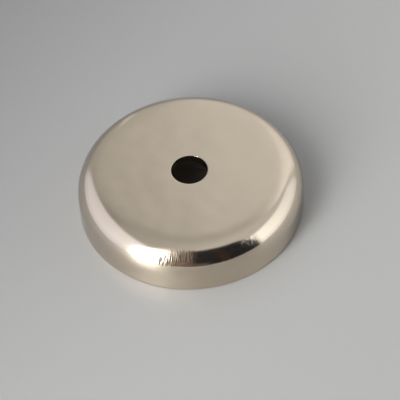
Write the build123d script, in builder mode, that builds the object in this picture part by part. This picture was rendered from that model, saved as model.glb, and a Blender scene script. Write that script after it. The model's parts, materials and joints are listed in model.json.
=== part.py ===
from build123d import *

import math
import os

# Pot magnet in millimetres, resting on its holding face with its closed face up.
# The axis is Z, and the rim of the cup stands on Z = 0.

# Steel cup, drawn from sheet with its rim trimmed and its closed face pierced
pot_diameter = 32.0
pot_height = 7.0
sheet = 1.5
corner_radius = 3.6  # outside of the drawn corner
screw_hole_diameter = 5.2
hole_roll = 0.1  # edge drawn down where the piercing punch enters
hole_break = 0.1  # deburred edge where the punch leaves
rim_break = 0.2  # both edges of the trimmed rim

# Ferrite ring, pressed with chamfered edges and ground on its faces
ring_bore_diameter = 11.5
ring_chamfer = 0.5
ring_set_back = 0.1  # pole face behind the rim
ring_gap = 1.5  # from the ring to the wall of the cup

# Casting resin behind the ring and round it
resin_film = 0.2
meniscus_depth = 0.2  # hollow of the resin's free face

pot_radius = pot_diameter / 2
screw_hole_radius = screw_hole_diameter / 2
cavity_radius = pot_radius - sheet
cavity_top = pot_height - sheet

# The bevel in the corner of the cavity is tangent to an arc concentric with the outside corner,
# so the steel keeps its thickness round the bend
bevel = (corner_radius - sheet) * (2 - math.sqrt(2))
bevel_radius = cavity_radius - bevel
bevel_foot = cavity_top - bevel

ring_radius = cavity_radius - ring_gap
ring_bore_radius = ring_bore_diameter / 2
ring_back = cavity_top - resin_film

# The resin stops at the ring's chamfers, at the bore and at the pole face
resin_inner_radius = ring_bore_radius + ring_chamfer
resin_level = ring_set_back + ring_chamfer

os.makedirs("parts", exist_ok=True)

# The cup is revolved from its half section, and its edges are broken afterwards
with BuildPart() as cup:
    with BuildSketch(Plane.XZ):
        with BuildLine():
            closed_face = Line((screw_hole_radius, pot_height), (pot_radius - corner_radius, pot_height))
            drawn_corner = JernArc(closed_face @ 1, closed_face % 1, corner_radius, -90)
            Polyline(
                drawn_corner @ 1,
                (pot_radius, 0),
                (cavity_radius, 0),
                (cavity_radius, bevel_foot),
                (bevel_radius, cavity_top),
                (screw_hole_radius, cavity_top),
                closed_face @ 0,
            )
        make_face()
    revolve(axis=Axis.Z)

    hole_wall = cup.faces().filter_by(GeomType.CYLINDER).sort_by(lambda face: face.radius)[0]
    hole_edges = hole_wall.edges().filter_by(GeomType.CIRCLE).sort_by(Axis.Z)
    rim_edges = cup.faces().sort_by(Axis.Z)[0].edges()
    fillet(hole_edges[-1], radius=hole_roll)
    chamfer(hole_edges[0], length=hole_break)
    chamfer(rim_edges, length=rim_break)

# The ring has the same chamfer on its four edges
with BuildPart() as ring_magnet:
    with BuildSketch(Plane.XZ) as ring_section:
        with Locations((ring_bore_radius, ring_set_back)):
            Rectangle(
                ring_radius - ring_bore_radius,
                ring_back - ring_set_back,
                align=(Align.MIN, Align.MIN),
            )
        chamfer(ring_section.vertices(), length=ring_chamfer)
    revolve(axis=Axis.Z)

# The resin fills what is left of the cavity, down to a hollow face between the ring and the wall
with BuildPart() as resin:
    with BuildSketch(Plane.XZ):
        with BuildLine():
            free_face = ThreePointArc(
                (cavity_radius, resin_level),
                (cavity_radius - ring_gap / 2, resin_level + meniscus_depth),
                (ring_radius, resin_level),
            )
            Polyline(
                free_face @ 1,
                (ring_radius, ring_back - ring_chamfer),
                (ring_radius - ring_chamfer, ring_back),
                (resin_inner_radius, ring_back),
                (resin_inner_radius, cavity_top),
                (bevel_radius, cavity_top),
                (cavity_radius, bevel_foot),
                free_face @ 0,
            )
        make_face()
    revolve(axis=Axis.Z)

cup.part.label = "cup"
ring_magnet.part.label = "ring_magnet"
resin.part.label = "resin"

export_step(cup.part, "parts/cup.step")
export_step(ring_magnet.part, "parts/ring_magnet.step")
export_step(resin.part, "parts/resin.step")
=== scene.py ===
import json
import math

import bpy
import numpy as np
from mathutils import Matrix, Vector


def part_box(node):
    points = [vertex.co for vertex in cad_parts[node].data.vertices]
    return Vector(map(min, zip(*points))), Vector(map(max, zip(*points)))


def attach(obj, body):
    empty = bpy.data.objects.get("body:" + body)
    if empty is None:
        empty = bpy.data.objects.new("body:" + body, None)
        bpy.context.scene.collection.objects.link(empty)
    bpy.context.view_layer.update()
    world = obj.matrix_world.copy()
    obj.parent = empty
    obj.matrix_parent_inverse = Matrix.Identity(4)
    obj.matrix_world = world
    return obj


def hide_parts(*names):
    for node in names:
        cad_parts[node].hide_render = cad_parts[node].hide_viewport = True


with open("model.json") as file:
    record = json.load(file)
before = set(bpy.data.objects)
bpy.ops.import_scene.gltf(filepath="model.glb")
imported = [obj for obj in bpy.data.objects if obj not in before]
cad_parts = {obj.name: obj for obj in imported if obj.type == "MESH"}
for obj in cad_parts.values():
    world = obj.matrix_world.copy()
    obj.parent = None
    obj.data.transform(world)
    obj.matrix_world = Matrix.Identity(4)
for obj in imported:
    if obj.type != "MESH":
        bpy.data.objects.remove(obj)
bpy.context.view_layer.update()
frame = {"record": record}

# --- Steel cup -----------------------------------------------------------------------------------
# A shallow pot drawn in one stroke from 1.5 mm low-carbon steel sheet, which gives it a faintly
# crowned closed face, a round corner and a straight wall. Its rim is trimmed and its screw hole
# pierced from the closed side, then it is tumbled and plated with bright nickel.

MM = 0.001

pot_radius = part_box("cup")[1].x
pot_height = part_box("cup")[1].z
cavity_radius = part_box("resin")[1].x
cavity_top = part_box("resin")[1].z
mounts = {mount["name"]: mount for mount in frame["record"]["mounts"]}
screw_hole_radius = mounts["screw_hole"]["dims"]["r_mm"] * MM
corner_radius = 3.6 * MM
inner_corner_radius = corner_radius - (pot_radius - cavity_radius)
corner_tilt = 7.0  # slope of the face in degrees, where the corner's arc starts
crown_tilt = 1.1  # the part of it that grows evenly from the middle
ease_width = 2.0 * MM  # the ring of the face in which the rest of it comes
crown_top = 0.005 * MM  # from the pot's full height down to the edge of the hole
hole_roll = 0.01 * MM
hole_break = 0.1 * MM
rim_break = 0.2 * MM
cup_turns = 512


def arc(centre, radius, start, end, count):
    """Points of a circular arc in the half section: centre + radius (cos a, sin a), where the angle a
    runs evenly from start to end, in degrees."""
    a = np.radians(np.linspace(start, end, count))
    return np.asarray(centre) + radius * np.column_stack((np.cos(a), np.sin(a)))


def joined(*runs):
    """One closed outline from runs of (r, z) points, without the points that repeat their neighbour."""
    points = np.vstack(runs)
    step = np.linalg.norm(points - np.roll(points, 1, axis=0), axis=1)
    return points[step > 1e-7]


def turned(name, outline, turns):
    """A turned solid: point k of the closed outline, (r, z), turned by the angle t lies at
    (r cos t, r sin t, z). The outline runs anticlockwise, so the quads between neighbouring points
    and neighbouring angles face outwards, and the last of each joins the first."""
    t = np.linspace(0, 2 * np.pi, turns, endpoint=False)
    r, z = outline.T
    points = np.stack((np.outer(np.cos(t), r), np.outer(np.sin(t), r), np.tile(z, (turns, 1))), axis=-1)
    index = np.arange(turns * len(r)).reshape(turns, len(r))
    beside = np.roll(index, -1, axis=0)
    quads = np.stack((index, beside, np.roll(beside, -1, axis=1), np.roll(index, -1, axis=1)), axis=-1)
    mesh = bpy.data.meshes.new(name)
    mesh.from_pydata(points.reshape(-1, 3), [], quads.reshape(-1, 4))
    mesh.polygons.foreach_set("use_smooth", np.ones(len(mesh.polygons), bool))
    steps = np.linalg.norm(np.diff(outline, axis=0), axis=1)
    meridian = mesh.attributes.new("meridian", "FLOAT", "POINT")
    meridian.data.foreach_set("value", np.tile(np.append(0, np.cumsum(steps)), turns).astype(np.float32))
    mesh.update()
    solid = bpy.data.objects.new(name, mesh)
    bpy.context.scene.collection.objects.link(solid)
    return solid


def linear(code):
    """A linear colour with alpha 1 from an sRGB hex code."""
    c = np.array([int(code[i:i + 2], 16) for i in (1, 3, 5)]) / 255
    return (*np.where(c <= 0.04045, c / 12.92, ((c + 0.055) / 1.055) ** 2.4).tolist(), 1.0)


def material(name):
    """A new node material, and its empty node tree."""
    made = bpy.data.materials.new(name)
    made.use_nodes = True
    made.node_tree.nodes.clear()
    return made, made.node_tree


def add(tree, kind, settings=(), out=0, **inputs):
    """Adds a node and gives its output out. settings are the node's properties. An input is named as
    its socket, with _ for a space, or by its number after i; it is a value or another node's output."""
    node = tree.nodes.new(kind)
    for key, value in dict(settings).items():
        setattr(node, key, value)
    for key, value in inputs.items():
        socket = node.inputs[int(key[1:]) if key[1:].isdigit() else key.replace("_", " ")]
        if isinstance(value, bpy.types.NodeSocket):
            tree.links.new(value, socket)
        else:
            socket.default_value = value
    return node if out is None or not node.outputs else node.outputs[out]


# The face's slope grows slowly from the middle, then quickly into the corner's. Its height is the
# sum of the drops from point to point, each the mean slope of its two ends times its width.
face_edge = pot_radius - corner_radius * (1 - math.sin(math.radians(corner_tilt)))
face_r = np.linspace(face_edge, screw_hole_radius + hole_roll, 60)
ease = np.clip((face_r - face_edge + ease_width) / ease_width, 0, 1)
face_tilt = np.radians(crown_tilt * face_r / face_edge + (corner_tilt - crown_tilt) * ease ** 2)
drop = (np.tan(face_tilt[1:]) + np.tan(face_tilt[:-1])) / 2 * -np.diff(face_r)
face_z = pot_height - crown_top - (drop.sum() - np.append(0, np.cumsum(drop)))
corner_z = face_z[0] - corner_radius * math.cos(math.radians(corner_tilt))
hole_z = face_z[-1]
inner_corner = np.array((cavity_radius - inner_corner_radius, cavity_top - inner_corner_radius))

# The half section, once round: up the corner, in over the face, down the hole, out along the inside
# and down it, and back over the rim. The last number of a run is its count of points.
cup = turned(
    "drawn_cup",
    joined(
        arc((pot_radius - corner_radius, corner_z), corner_radius, 0, 90 - corner_tilt, 49),
        np.column_stack((face_r, face_z)),
        arc((screw_hole_radius + hole_roll, hole_z - hole_roll), hole_roll, 90, 180, 7),
        np.linspace(
            (screw_hole_radius, hole_z - hole_roll), (screw_hole_radius, cavity_top + hole_break), 5
        ),
        arc((screw_hole_radius + hole_break, cavity_top + hole_break), hole_break, 180, 270, 4),
        np.linspace((screw_hole_radius + hole_break, cavity_top), (inner_corner[0], cavity_top), 5),
        arc(inner_corner, inner_corner_radius, 90, 0, 13),
        np.linspace((cavity_radius, inner_corner[1]), (cavity_radius, rim_break), 6),
        arc((cavity_radius + rim_break, rim_break), rim_break, 180, 270, 5),
        np.linspace((cavity_radius + rim_break, 0), (pot_radius - rim_break, 0), 4),
        arc((pot_radius - rim_break, rim_break), rim_break, 270, 360, 5),
        np.linspace((pot_radius, rim_break), (pot_radius, corner_z), 12),
    ),
    cup_turns,
)

# Bright nickel: a warm grey mirror that copies the sheet under it. The flat face is smooth, with a
# faint haze, broad waves and a fine peel from tumbling. Drawing has left sparse grooves along the
# metal's flow over the corner, which fray the edge of whatever it mirrors, and straight lines up
# the wall. Both are drawn coarser than the real 0.05 mm so that they show. At three places the
# corner is scuffed: there the grooves are deeper, and a painted reflection darkens them. It is laid
# where the mirrored black cloth's dark band ends, to fray that end.
grooves_per_mm = 5.0
lines_per_mm = 5.5
groove_stretch = 7.0  # a groove's length, in its widths
groove_depth = 0.0016 * MM
groove_radii = 12.9 * MM, 14.4 * MM  # the grooves fade in outwards between these radii
groove_heights = 3.6 * MM, 4.8 * MM  # and upwards between these heights
line_depth = 0.006 * MM
line_heights = 4.4 * MM, 3.4 * MM  # the lines fade in downwards between these
peel_size, peel_depth = 0.3 * MM, 0.002 * MM
wave_size, wave_depth = 5 * MM, 0.05 * MM
haze_size = 2.2 * MM

nickel, tree = material("bright_nickel_plate")
place = add(tree, "ShaderNodeTexCoord", out="Object")
outward = add(tree, "ShaderNodeVectorMath", {"operation": "MULTIPLY"}, i0=place, i1=(1.0, 1.0, 0.0))
radius = add(tree, "ShaderNodeVectorMath", {"operation": "LENGTH"}, "Value", i0=outward)
height = add(tree, "ShaderNodeSeparateXYZ", out="Z", Vector=place)
around = add(tree, "ShaderNodeVectorMath", {"operation": "NORMALIZE"}, i0=outward)
around = add(tree, "ShaderNodeVectorMath", {"operation": "SCALE"}, i0=around, Scale=pot_radius / MM)
along = add(tree, "ShaderNodeAttribute", {"attribute_name": "meridian"}, "Fac")
along = add(tree, "ShaderNodeMath", {"operation": "DIVIDE"}, i0=along, i1=groove_stretch * MM)
along = add(tree, "ShaderNodeCombineXYZ", Z=along)
flow = add(tree, "ShaderNodeVectorMath", {"operation": "ADD"}, i0=around, i1=along)
corner = add(
    tree, "ShaderNodeMapRange", {"interpolation_type": "SMOOTHSTEP"}, Value=radius,
    From_Min=groove_radii[0], From_Max=groove_radii[1],
)
above = add(
    tree, "ShaderNodeMapRange", {"interpolation_type": "SMOOTHSTEP"}, Value=height,
    From_Min=groove_heights[0], From_Max=groove_heights[1],
)
corner = add(tree, "ShaderNodeMath", {"operation": "MULTIPLY"}, i0=corner, i1=above)
grooves = add(
    tree, "ShaderNodeTexNoise", Vector=flow, Scale=grooves_per_mm, Detail=1.0, Distortion=0.2
)
grooves = add(
    tree, "ShaderNodeMapRange", {"interpolation_type": "SMOOTHSTEP"}, Value=grooves,
    From_Min=0.47, From_Max=0.6,
)
grooves = add(tree, "ShaderNodeMath", {"operation": "MULTIPLY"}, i0=grooves, i1=corner)

# A scuff: its bearing, clockwise from +Y, and half width in degrees, the height of its middle and
# its half height in mm, how dark its painted reflection is, and how much it adds to the grooves'
# share of their full depth, which is a half elsewhere.
painted_dark_reflection, depth = 0.0, 0.5
for bearing, half_width, middle, half_height, painted_darkness, deeper in (
    (-164, 6.5, 5.35, 0.9, 1.0, 1.2),
    (-173, 8, 5.9, 0.7, 0.6, 0.8),
    (150, 7, 5.8, 0.5, 0.3, 2.0),
):
    a = math.radians(bearing)
    toward = add(
        tree, "ShaderNodeVectorMath", {"operation": "DOT_PRODUCT"}, "Value",
        i0=around, i1=(math.sin(a), math.cos(a), 0.0),
    )
    scuff = add(
        tree, "ShaderNodeMapRange", {"interpolation_type": "SMOOTHSTEP"}, Value=toward,
        From_Min=math.cos(math.radians(half_width)) * pot_radius / MM,
        From_Max=math.cos(math.radians(half_width / 2)) * pot_radius / MM,
    )
    level = add(tree, "ShaderNodeMath", {"operation": "SUBTRACT"}, i0=height, i1=middle * MM)
    level = add(tree, "ShaderNodeMath", {"operation": "ABSOLUTE"}, i0=level)
    level = add(
        tree, "ShaderNodeMapRange", {"interpolation_type": "SMOOTHSTEP"}, Value=level,
        From_Min=half_height * MM, From_Max=half_height * MM / 2,
    )
    scuff = add(tree, "ShaderNodeMath", {"operation": "MULTIPLY"}, i0=scuff, i1=level)
    painted_dark_reflection = add(tree, "ShaderNodeMath", {"operation": "MULTIPLY_ADD"}, i0=scuff, i1=painted_darkness, i2=painted_dark_reflection)
    depth = add(tree, "ShaderNodeMath", {"operation": "MULTIPLY_ADD"}, i0=scuff, i1=deeper, i2=depth)
painted_dark_reflection = add(tree, "ShaderNodeMath", {"operation": "MULTIPLY"}, i0=grooves, i1=painted_dark_reflection)
grooves = add(tree, "ShaderNodeMath", {"operation": "MULTIPLY"}, i0=grooves, i1=depth)

lines = add(tree, "ShaderNodeTexNoise", Vector=flow, Scale=lines_per_mm, Detail=1.0)
wall = add(
    tree, "ShaderNodeMapRange", {"interpolation_type": "SMOOTHSTEP"}, Value=height,
    From_Min=line_heights[0], From_Max=line_heights[1],
)
lines = add(tree, "ShaderNodeMath", {"operation": "MULTIPLY"}, i0=lines, i1=wall)
peel = add(tree, "ShaderNodeTexNoise", Vector=place, Scale=1 / peel_size, Detail=2.0)
waves = add(tree, "ShaderNodeTexNoise", Vector=place, Scale=1 / wave_size, Detail=1.0)
bumps = add(tree, "ShaderNodeBump", Distance=groove_depth, Height=grooves)
bumps = add(tree, "ShaderNodeBump", Distance=line_depth, Height=lines, Normal=bumps)
bumps = add(tree, "ShaderNodeBump", Distance=peel_depth, Height=peel, Normal=bumps)
bumps = add(tree, "ShaderNodeBump", Distance=wave_depth, Height=waves, Normal=bumps)
haze = add(tree, "ShaderNodeTexNoise", Vector=place, Scale=1 / haze_size, Detail=4.0)
tone = add(
    tree, "ShaderNodeMix", {"data_type": "RGBA"}, 2, Factor=haze,
    A=linear("#CDC0AC"), B=linear("#D4C7B4"),
)
# Painted reflection: in the scuffs the grooves take this dark grey, for the frayed end of the mirrored
# black cloth.
tone = add(tree, "ShaderNodeMix", {"data_type": "RGBA"}, 2, Factor=painted_dark_reflection, A=tone, B=linear("#5C5856"))
matt = add(tree, "ShaderNodeMapRange", Value=haze, To_Min=0.085, To_Max=0.155)
# At a grazing angle solid nickel mirrors a tenth less than the shader's white default: so the tint.
shader = add(
    tree, "ShaderNodeBsdfPrincipled", Base_Color=tone, Metallic=1.0, Roughness=matt, Normal=bumps,
    Specular_Tint=linear("#E8EAEF"),
)
add(tree, "ShaderNodeOutputMaterial", Surface=shader)
cup.data.materials.append(nickel)
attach(cup, "root")
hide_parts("cup")

# --- Ferrite ring --------------------------------------------------------------------------------
# The magnet is a ring of hard ferrite, pressed from powder with chamfered edges and sintered to a
# charcoal-grey ceramic. Its two faces are ground flat.

ring_low, ring_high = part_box("ring_magnet")
ring_radius = ring_high.x
ring_bore_radius = mounts["screw_head_recess"]["dims"]["r_mm"] * MM
ring_chamfer = 0.5 * MM
ring_turns = 256

# The flat of each face ends at these two radii, and each flank between these two heights.
flat_outer = ring_radius - ring_chamfer
flat_inner = ring_bore_radius + ring_chamfer
flank_low = ring_low.z + ring_chamfer
flank_high = ring_high.z - ring_chamfer
ring = turned(
    "ferrite_ring",
    joined(
        np.linspace((ring_radius, flank_low), (ring_radius, flank_high), 6),
        np.linspace((flat_outer, ring_high.z), (flat_inner, ring_high.z), 6),
        np.linspace((ring_bore_radius, flank_high), (ring_bore_radius, flank_low), 6),
        np.linspace((flat_inner, ring_low.z), (flat_outer, ring_low.z), 6),
    ),
    ring_turns,
)

# Hard ferrite: a dark grey ceramic. The ground faces have a low sheen and parallel grinding lines,
# drawn coarser than the real 0.03 mm so that they show, and the pressed flanks are matt and pitted.
# The pits are dented, and they are painted darker for the shade in them.
# A trace of emission in the bore stands for daylight that strays in through the screw hole.
cut_gap, cut_length, cut_depth = 0.18 * MM, 9 * MM, 0.004 * MM
grain_size, pit_depth = 0.25 * MM, 0.012 * MM
cloud_size = 3 * MM
bore_glow = 0.005
bore_glow_radii = 6.6 * MM, 6.2 * MM  # it fades in inwards between these radii

ferrite, tree = material("sintered_ferrite")
place = add(tree, "ShaderNodeTexCoord", out="Object")
facing = add(tree, "ShaderNodeTexCoord", out="Normal")
facing = add(tree, "ShaderNodeSeparateXYZ", out="Z", Vector=facing)
facing = add(tree, "ShaderNodeMath", {"operation": "ABSOLUTE"}, i0=facing)
ground = add(tree, "ShaderNodeMapRange", Value=facing, From_Min=0.9, From_Max=0.98)
lengthwise = add(
    tree, "ShaderNodeVectorMath", {"operation": "MULTIPLY"},
    i0=place, i1=(1 / cut_length, 1 / cut_gap, 1 / cut_length),
)
cuts = add(tree, "ShaderNodeTexNoise", Vector=lengthwise, Scale=1.0, Detail=2.0)
grains = add(tree, "ShaderNodeTexNoise", Vector=place, Scale=1 / grain_size, Detail=2.0)
clouds = add(tree, "ShaderNodeTexNoise", Vector=place, Scale=1 / cloud_size, Detail=3.0)
pits_and_painted_shade = add(
    tree, "ShaderNodeMapRange", {"interpolation_type": "SMOOTHSTEP"}, Value=grains,
    From_Min=0.62, From_Max=0.72,
)
relief = add(tree, "ShaderNodeMix", i0=ground, A=grains, B=cuts)
bumps = add(tree, "ShaderNodeBump", Distance=cut_depth, Height=relief)
bumps = add(tree, "ShaderNodeBump", {"invert": True}, Distance=pit_depth, Height=pits_and_painted_shade, Normal=bumps)
pressed_tone = add(
    tree, "ShaderNodeMix", {"data_type": "RGBA"}, 2, Factor=clouds,
    A=linear("#2B2B2D"), B=linear("#3C3C3F"),
)
ground_tone = add(
    tree, "ShaderNodeMix", {"data_type": "RGBA"}, 2, Factor=cuts,
    A=linear("#35353A"), B=linear("#55555A"),
)
tone = add(
    tree, "ShaderNodeMix", {"data_type": "RGBA"}, 2, Factor=ground, A=pressed_tone, B=ground_tone
)
# Painted shade: the pits turn this near black, for the shade inside them.
tone = add(tree, "ShaderNodeMix", {"data_type": "RGBA"}, 2, Factor=pits_and_painted_shade, A=tone, B=linear("#1B1B1C"))
matt = add(tree, "ShaderNodeMapRange", Value=ground, To_Min=0.62, To_Max=0.36)
strayed = add(tree, "ShaderNodeVectorMath", {"operation": "MULTIPLY"}, i0=place, i1=(1.0, 1.0, 0.0))
strayed = add(tree, "ShaderNodeVectorMath", {"operation": "LENGTH"}, "Value", i0=strayed)
strayed = add(
    tree, "ShaderNodeMapRange", {"interpolation_type": "SMOOTHSTEP"}, Value=strayed,
    From_Min=bore_glow_radii[0], From_Max=bore_glow_radii[1], To_Max=bore_glow,
)
shader = add(
    tree, "ShaderNodeBsdfPrincipled", Base_Color=tone, Roughness=matt, IOR=2.1, Normal=bumps,
    Emission_Color=linear("#FFE8D0"), Emission_Strength=strayed,
)
add(tree, "ShaderNodeOutputMaterial", Surface=shader)
ring.data.materials.append(ferrite)
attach(ring, "root")
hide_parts("ring_magnet")

# --- Casting resin -------------------------------------------------------------------------------
# Black epoxy is poured in before the ring and holds it: a film behind it, and a collar round it
# with a hollow face where the resin climbed the ring and the wall.

resin_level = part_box("resin")[0].z
meniscus_depth = 0.2 * MM
across_gap = np.linspace(-1, 1, 13)
hollow = resin_level + meniscus_depth * (1 - across_gap ** 2)

# The half section: up the cup's wall and round its corner, in along its sheet, out again along the
# back of the ring, down the ring's flank, and out over the hollow face, a parabola across the gap.
resin = turned(
    "resin_collar",
    joined(
        np.linspace((cavity_radius, resin_level), (cavity_radius, inner_corner[1]), 6),
        arc(inner_corner, inner_corner_radius, 0, 90, 13),
        np.linspace((inner_corner[0], cavity_top), (flat_inner, cavity_top), 4),
        np.linspace((flat_inner, ring_high.z), (flat_outer, ring_high.z), 4),
        np.linspace((ring_radius, flank_high), (ring_radius, resin_level), 4),
        np.column_stack((np.linspace(ring_radius, cavity_radius, len(hollow)), hollow)),
    ),
    ring_turns,
)

# Black epoxy: glossy where it set in the air, with a slight unevenness, settled dust and pinholes.
set_size, set_depth = 2.5 * MM, 0.09 * MM
dust_size, pinhole_depth = 0.3 * MM, 0.015 * MM

epoxy, tree = material("black_epoxy")
place = add(tree, "ShaderNodeTexCoord", out="Object")
uneven = add(tree, "ShaderNodeTexNoise", Vector=place, Scale=1 / set_size, Detail=2.0)
specks = add(tree, "ShaderNodeTexNoise", Vector=place, Scale=1 / dust_size, Detail=2.0)
dust = add(
    tree, "ShaderNodeMapRange", {"interpolation_type": "SMOOTHSTEP"}, Value=specks,
    From_Min=0.6, From_Max=0.75,
)
bumps = add(tree, "ShaderNodeBump", Distance=set_depth, Height=uneven)
bumps = add(
    tree, "ShaderNodeBump", {"invert": True}, Distance=pinhole_depth, Height=dust, Normal=bumps
)
tone = add(
    tree, "ShaderNodeMix", {"data_type": "RGBA"}, 2, Factor=uneven,
    A=linear("#101012"), B=linear("#1C1C1E"),
)
tone = add(tree, "ShaderNodeMix", {"data_type": "RGBA"}, 2, Factor=dust, A=tone, B=linear("#303032"))
matt = add(tree, "ShaderNodeMapRange", Value=uneven, To_Min=0.12, To_Max=0.34)
shader = add(
    tree, "ShaderNodeBsdfPrincipled", Base_Color=tone, Roughness=matt, IOR=1.55, Normal=bumps
)
add(tree, "ShaderNodeOutputMaterial", Surface=shader)
resin.data.materials.append(epoxy)
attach(resin, "root")
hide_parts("resin")

# --- Table ---------------------------------------------------------------------------------------
# The magnet stands on a large sheet of smooth grey paper, with painted shade that darkens it
# towards its far left, for light that falls off there. Seen from below the sheet is clear, so that
# the magnet's other side shows.

paper_half = 1500 * MM
paper_mesh = bpy.data.meshes.new("paper_sheet")
corners = np.array(((-1, -1), (1, -1), (1, 1), (-1, 1))) * paper_half
paper_mesh.from_pydata(np.column_stack((corners, np.zeros(4))), [], [(0, 1, 2, 3)])
paper_sheet = bpy.data.objects.new("paper_sheet", paper_mesh)
bpy.context.scene.collection.objects.link(paper_sheet)

# Coated paper: dull from above, with a satin sheen that grows steeply towards a grazing view. Under
# the magnet it is painted dark for the shade there, with a trace of emission, a painted glow for
# daylight that strays in through the hole.
painted_falloff_way = math.radians(144)
painted_falloff_start, painted_falloff_end = -20 * MM, 90 * MM
# Painted shade: under the magnet the paper is darkened, fading in inwards between these radii.
painted_shade_radii = 12 * MM, 9 * MM  # the dark patch fades in inwards between these radii
floor_glow = 0.0065

paper, tree = material("paper_with_painted_falloff")
place = add(tree, "ShaderNodeTexCoord", out="Object")
# Painted shade: the paper's grey darkens towards the far left along this bearing, for light that falls
# off there.
painted_falloff = add(
    tree, "ShaderNodeVectorMath", {"operation": "DOT_PRODUCT"}, "Value",
    i0=place, i1=(math.cos(painted_falloff_way), math.sin(painted_falloff_way), 0.0),
)
painted_falloff = add(
    tree, "ShaderNodeMapRange", {"interpolation_type": "SMOOTHSTEP"}, Value=painted_falloff,
    From_Min=painted_falloff_start, From_Max=painted_falloff_end,
)
tone = add(
    tree, "ShaderNodeMix", {"data_type": "RGBA"}, 2, Factor=painted_falloff,
    A=linear("#8C8C8A"), B=linear("#565658"),
)
painted_shade_under = add(tree, "ShaderNodeVectorMath", {"operation": "LENGTH"}, "Value", i0=place)
painted_shade_under = add(
    tree, "ShaderNodeMapRange", {"interpolation_type": "SMOOTHSTEP"}, Value=painted_shade_under,
    From_Min=painted_shade_radii[0], From_Max=painted_shade_radii[1],
)
# Painted shade: under the magnet the paper turns this dark brown-black.
tone = add(tree, "ShaderNodeMix", {"data_type": "RGBA"}, 2, Factor=painted_shade_under, A=tone, B=linear("#38322C"))
strayed = add(tree, "ShaderNodeMath", {"operation": "MULTIPLY"}, i0=painted_shade_under, i1=floor_glow)
dull = add(
    tree, "ShaderNodeBsdfPrincipled", Base_Color=tone, Roughness=0.8, Specular_IOR_Level=0.0,
    Emission_Color=linear("#FFE8D0"), Emission_Strength=strayed,
)
satin = add(
    tree, "ShaderNodeBsdfPrincipled", Base_Color=linear("#F4F4F4"), Metallic=1.0, Roughness=0.45
)
sheen = add(tree, "ShaderNodeLayerWeight", out="Facing")
sheen = add(tree, "ShaderNodeMath", {"operation": "POWER"}, i0=sheen, i1=4.0)
sheen = add(tree, "ShaderNodeMapRange", Value=sheen, To_Min=0.115, To_Max=0.44)
shader = add(tree, "ShaderNodeMixShader", Fac=sheen, i1=dull, i2=satin)
clear = add(tree, "ShaderNodeBsdfTransparent")
beneath = add(tree, "ShaderNodeNewGeometry", out="Backfacing")
passed = add(tree, "ShaderNodeLightPath", out="Transparent Depth")
beneath = add(
    tree, "ShaderNodeMath", {"operation": "MAXIMUM", "use_clamp": True}, i0=beneath, i1=passed
)
shader = add(tree, "ShaderNodeMixShader", Fac=beneath, i1=shader, i2=clear)
add(tree, "ShaderNodeOutputMaterial", Surface=shader)
paper_mesh.materials.append(paper)

# --- Room ----------------------------------------------------------------------------------------
# A ceiling, and flat upright panels that stand for pale walls, black cloth and a curtain round the
# camera and a white reflector. They are painted by direction, with soft edges.

# A panel: its bearing, clockwise from +Y; its left and right end from there and how soft they are;
# its top and how soft that is, all in degrees; its brightness at its left and right end; its tint;
# and whether it hangs in folds.
panels = (
    # shaded top of the far corner
    (-34, -24, 17, 16, 59.5, 7, 0.40, 0.40, "#FFFFFF", False),
    # left wall
    (-90, -58, 51, 16, 59.3, 8, 1.68, 0.98, "#F0F1FF", False),
    # back wall
    (-15, -25, 19, 8, 51.5, 14, 0.455, 0.66, "#FFFFFF", False),
    (10, -11, 12, 10, 54, 15, 0.81, 0.86, "#FFFFFF", False),
    (35, -17, 15, 8, 54, 18, 0.93, 1.18, "#FFFFFF", False),
    # right wall
    (105, -48, 17.6, 5, 48.8, 8, 1.16, 1.86, "#F7FAFF", False),
    # black cloth, with a brown fold in it
    (164, -42.7, 30, 5, 67.5, 10, 0.0295, 0.0295, "#E8EBFF", True),
    (154, -3, 4, 4, 66, 10, 0.055, 0.055, "#FFD0B4", True),
    # brown curtain, and a darker hem on it
    (-170, -6.5, 14, 4, 68, 10, 0.34, 0.44, "#E3CDC5", True),
    (-176, -14, 12, 10, 13, 9, 0.16, 0.30, "#F0D8BC", True),
    # white reflector beside the softbox
    (-149, -7, 12, 8, 62, 10, 1.20, 1.80, "#FFF6EE", False),
    # bright gap in the back wall
    (-14, -1.5, 1.5, 2, 25, 16, 0.85, 0.85, "#FFFFFF", False),
)

room = bpy.data.worlds.new("studio_room")
bpy.context.scene.world = room
room.use_nodes = True
tree = room.node_tree
tree.nodes.clear()
way = add(tree, "ShaderNodeTexCoord", out="Generated")
upward = add(tree, "ShaderNodeSeparateXYZ", out="Z", Vector=way)

# The ceiling is brightest towards this bearing.
ceiling_way = math.radians(130)
light = add(
    tree, "ShaderNodeVectorMath", {"operation": "DOT_PRODUCT"}, "Value",
    i0=way, i1=(math.sin(ceiling_way), math.cos(ceiling_way), 0.0),
)
light = add(
    tree, "ShaderNodeMapRange", Value=light, From_Min=-0.5, From_Max=0.2, To_Min=0.475, To_Max=0.72
)
light = add(tree, "ShaderNodeCombineColor", Red=light, Green=light, Blue=light)

# The folds of the cloth and the curtain are about 4 degrees wide.
folds = add(tree, "ShaderNodeTexNoise", Vector=way, Scale=13.0, Detail=3.0, Roughness=0.6)
folds = add(
    tree, "ShaderNodeMapRange", Value=folds, From_Min=0.3, From_Max=0.7, To_Min=0.3, To_Max=1.7
)

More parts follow.
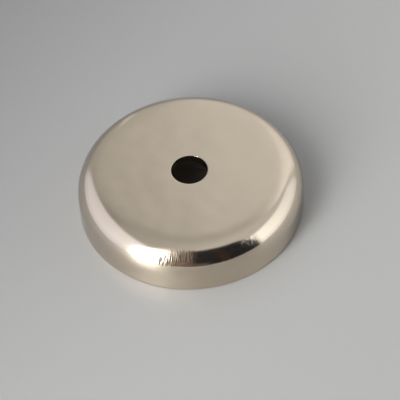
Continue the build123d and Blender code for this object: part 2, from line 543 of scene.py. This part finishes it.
# A panel covers what is ahead of it, between its ends and under its top, over what came before it.
for bearing, left, right, side_soft, top, top_soft, first, last, tint, folded in panels:
    a = math.radians(bearing)
    left, right, side_soft, top, top_soft = (
        math.radians(angle) for angle in (left, right, side_soft, top, top_soft)
    )
    ahead = add(
        tree, "ShaderNodeVectorMath", {"operation": "DOT_PRODUCT"}, "Value",
        i0=way, i1=(math.sin(a), math.cos(a), 0.0),
    )
    aside = add(
        tree, "ShaderNodeVectorMath", {"operation": "DOT_PRODUCT"}, "Value",
        i0=way, i1=(math.cos(a), -math.sin(a), 0.0),
    )
    aside = add(tree, "ShaderNodeMath", {"operation": "ARCTAN2"}, i0=aside, i1=ahead)
    climb = add(tree, "ShaderNodeMath", {"operation": "DIVIDE"}, i0=upward, i1=ahead)
    mask = add(
        tree, "ShaderNodeMapRange", {"interpolation_type": "SMOOTHSTEP"}, Value=ahead, From_Max=0.05
    )
    for value, outside, inside in (
        (aside, left - side_soft / 2, left + side_soft / 2),
        (aside, right + side_soft / 2, right - side_soft / 2),
        (climb, math.tan(top + top_soft / 2), math.tan(top - top_soft / 2)),
    ):
        edge = add(
            tree, "ShaderNodeMapRange", {"interpolation_type": "SMOOTHSTEP"}, Value=value,
            From_Min=outside, From_Max=inside,
        )
        mask = add(tree, "ShaderNodeMath", {"operation": "MULTIPLY"}, i0=mask, i1=edge)
    glow = add(
        tree, "ShaderNodeMapRange", Value=aside, From_Min=left, From_Max=right,
        To_Min=first, To_Max=last,
    )
    if folded:
        glow = add(tree, "ShaderNodeMath", {"operation": "MULTIPLY"}, i0=glow, i1=folds)
    glow = add(tree, "ShaderNodeVectorMath", {"operation": "SCALE"}, i0=linear(tint)[:3], Scale=glow)
    light = add(tree, "ShaderNodeMix", {"data_type": "RGBA"}, 2, Factor=mask, A=light, B=glow)

# The room is a fifth darker at the table's height. Past the table the camera sees plain grey.
low = add(tree, "ShaderNodeMapRange", Value=upward, From_Min=-0.02, From_Max=0.3, To_Min=0.78)
light = add(tree, "ShaderNodeVectorMath", {"operation": "SCALE"}, i0=light, Scale=low)
direct = add(tree, "ShaderNodeLightPath", out="Is Camera Ray")
light = add(
    tree, "ShaderNodeMix", {"data_type": "RGBA"}, 2, Factor=direct, A=light, B=linear("#B4B4B3")
)
add(tree, "ShaderNodeOutputWorld", Surface=add(tree, "ShaderNodeBackground", Color=light))

# --- Softbox -------------------------------------------------------------------------------------
# A tall softbox stands half a metre away, in front on the left. Its cloth is brightest in a narrow
# core, and fades out beside and above it and a little towards its foot. A dimmer light in the same
# place, which mirrors don't show, stands for the rest of the daylight from that side.

# The core's half width and its top, and where the light beyond them has fallen by the factor e. At
# the table's height it is foot_bright of full, and it rises to full at foot_top.
window_azimuth = math.radians(-136)
window_distance = 500 * MM
core_side, fade_side = math.radians(6.4), math.radians(9.4)
core_top, fade_top = math.radians(45), math.radians(51)
foot_bright, foot_top = 0.7, math.radians(30)

# Each light's half width and top in degrees, seen from the magnet, and its radiance.
for name, half_width, top, radiance, mirrored in (
    ("softbox", 24, 74, 19, True),
    ("softbox_fill", 21, 60, 6.0, False),
):
    window = bpy.data.lights.new(name, "AREA")
    window.shape = "RECTANGLE"
    window.size = 2 * window_distance * math.tan(math.radians(half_width))
    window.size_y = window_distance * math.tan(math.radians(top))
    window.energy = radiance * math.pi * window.size * window.size_y
    softbox = bpy.data.objects.new(name, window)
    bpy.context.scene.collection.objects.link(softbox)
    softbox.visible_camera = False
    softbox.visible_glossy = mirrored
    softbox.location = (
        window_distance * math.sin(window_azimuth),
        window_distance * math.cos(window_azimuth),
        window.size_y / 2,
    )
    softbox.rotation_euler = (math.radians(90), 0, math.radians(180) - window_azimuth)
    if not mirrored:
        continue
    window.use_nodes = True
    tree = window.node_tree
    tree.nodes.clear()
    where = add(tree, "ShaderNodeNewGeometry", out="Parametric")
    where = add(tree, "ShaderNodeSeparateXYZ", (), None, Vector=where)
    aside = add(tree, "ShaderNodeMath", {"operation": "SUBTRACT"}, i0=where.outputs["X"], i1=0.5)
    aside = add(tree, "ShaderNodeMath", {"operation": "ABSOLUTE"}, i0=aside)
    aside = add(
        tree, "ShaderNodeMapRange", {"clamp": False}, Value=aside,
        From_Min=math.tan(core_side) * window_distance / window.size,
        From_Max=math.tan(fade_side) * window_distance / window.size,
    )
    aside = add(tree, "ShaderNodeMath", {"operation": "MAXIMUM"}, i0=aside, i1=0.0)
    climb = add(
        tree, "ShaderNodeMath", {"operation": "MULTIPLY"},
        i0=where.outputs["Y"], i1=window.size_y / window_distance,
    )
    climb = add(tree, "ShaderNodeMath", {"operation": "ARCTANGENT"}, i0=climb)
    foot = add(
        tree, "ShaderNodeMapRange", {"interpolation_type": "SMOOTHSTEP"}, Value=climb,
        From_Min=0.0, From_Max=foot_top, To_Min=foot_bright,
    )
    climb = add(
        tree, "ShaderNodeMapRange", {"clamp": False}, Value=climb, From_Min=core_top, From_Max=fade_top
    )
    climb = add(tree, "ShaderNodeMath", {"operation": "MAXIMUM"}, i0=climb, i1=0.0)
    fall = add(tree, "ShaderNodeMath", {"operation": "ADD"}, i0=aside, i1=climb)
    fall = add(tree, "ShaderNodeMath", {"operation": "MULTIPLY"}, i0=fall, i1=-1.0)
    fall = add(tree, "ShaderNodeMath", {"operation": "EXPONENT"}, i0=fall)
    fall = add(tree, "ShaderNodeMath", {"operation": "MULTIPLY"}, i0=fall, i1=foot)
    add(tree, "ShaderNodeOutputLight", Surface=add(tree, "ShaderNodeEmission", Strength=fall))

# --- Camera --------------------------------------------------------------------------------------
# A long lens on a stand looks down at 50 degrees, turned a little about its axis, so that the
# table's far edge is higher on the right. It is aimed just beside the middle of the magnet's foot.

view_elevation = math.radians(50.09)
camera_distance = 336 * MM
camera_roll = math.radians(4.19)
aim_across, aim_up = 1.18 * MM, 0.22 * MM
lens = bpy.data.cameras.new("camera")
lens.sensor_width = 36
lens.lens = 211.4
lens.clip_start = 0.01
lens.clip_end = 10
camera = bpy.data.objects.new("camera", lens)
bpy.context.scene.collection.objects.link(camera)
back = np.array((0, -math.cos(view_elevation), math.sin(view_elevation)))
level = np.array((1.0, 0, 0))
steep = np.cross(back, level)
across = math.cos(camera_roll) * level - math.sin(camera_roll) * steep
up = math.sin(camera_roll) * level + math.cos(camera_roll) * steep
towards = camera_distance * back - (aim_across * across + aim_up * up)
towards /= np.linalg.norm(towards)
side = np.cross(up, towards)
side /= np.linalg.norm(side)
pose = np.eye(4)
pose[:3, 0] = side
pose[:3, 1] = np.cross(towards, side)
pose[:3, 2] = towards
pose[:3, 3] = camera_distance * back
camera.matrix_world = pose.T
bpy.context.scene.camera = camera
bpy.context.scene.view_settings.view_transform = "Standard"
